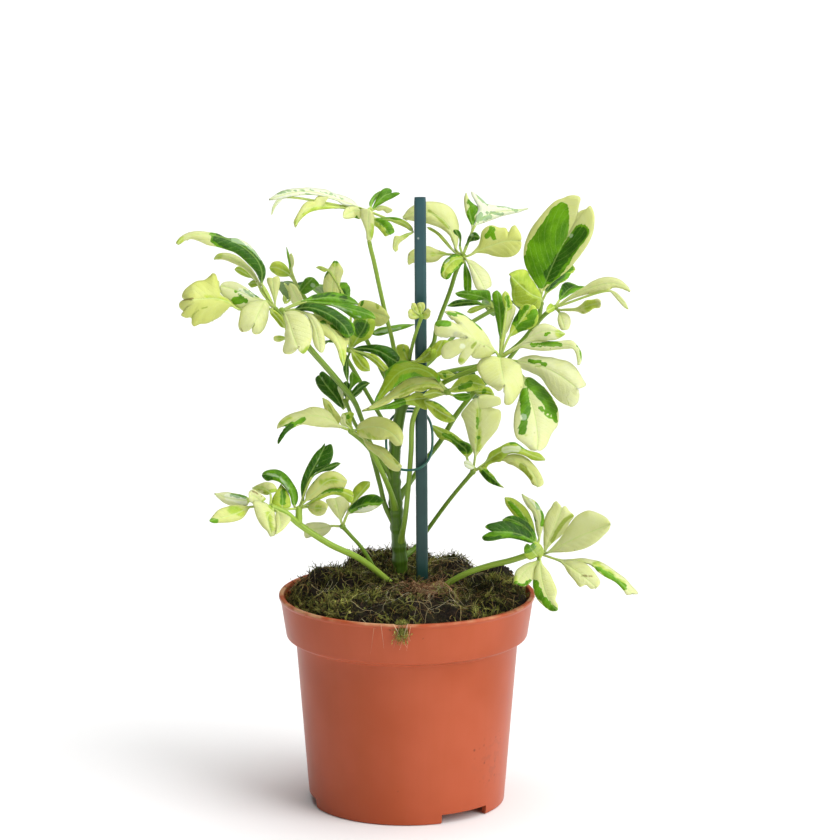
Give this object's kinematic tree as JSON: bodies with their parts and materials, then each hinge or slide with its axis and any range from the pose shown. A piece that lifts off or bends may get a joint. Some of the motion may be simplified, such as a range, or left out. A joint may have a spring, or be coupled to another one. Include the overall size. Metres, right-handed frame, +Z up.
{
  "type": "potted umbrella plant",
  "caption": "House plant with palmate leaves of notched, cream-edged leaflets on a stem tied to a cane, in a round tapered nursery pot with a deep rim band and a mossy fill.",
  "frame": {"origin": "middle of the plant's bounding box, on the surface that the pot's foot ring stands on", "axes": "+Z up along the cane, -Y towards the side seen in the picture, +X to the right of that view"},
  "size_m": [0.2142, 0.1524, 0.2967],
  "materials": {
    "pot_plastic": "smooth moulded terracotta-coloured plastic, soft sheen, pale worn lip",
    "soil": "dark crumbly potting compost with brown fibres",
    "moss": "olive and straw-coloured feathery moss",
    "stem": "smooth green stem with raised leaf joints",
    "cane_coat": "dark blue-green coated support stick",
    "tie_wire": "green plastic-coated wire",
    "leaf": "smooth waxy leaflets, cream to lime with green and dark green patches"
  },
  "bodies": {
    "root": {"pot": "pot_plastic", "potting_soil": "soil", "moss": "moss", "main_stem": "stem", "cane": "cane_coat", "tie_ring": "tie_wire", "leaf_top_left": "leaf", "leaf_top_right": "leaf", "leaf_back_right": "leaf", "leaf_right_back": "leaf", "leaf_right": "leaf", "leaf_front_right": "leaf", "leaf_crown": "leaf", "leaf_young": "leaf", "leaf_left": "leaf", "leaf_left_front": "leaf", "leaf_left_upper": "leaf", "leaf_left_back": "leaf", "leaf_middle_left": "leaf", "leaf_middle_back": "leaf", "leaf_middle_front": "leaf", "shoot_left": "leaf", "leaf_low_left": "leaf", "leaf_middle_right": "leaf", "leaf_low_right": "leaf", "shoot_right": "leaf"}
  },
  "joints": []
}
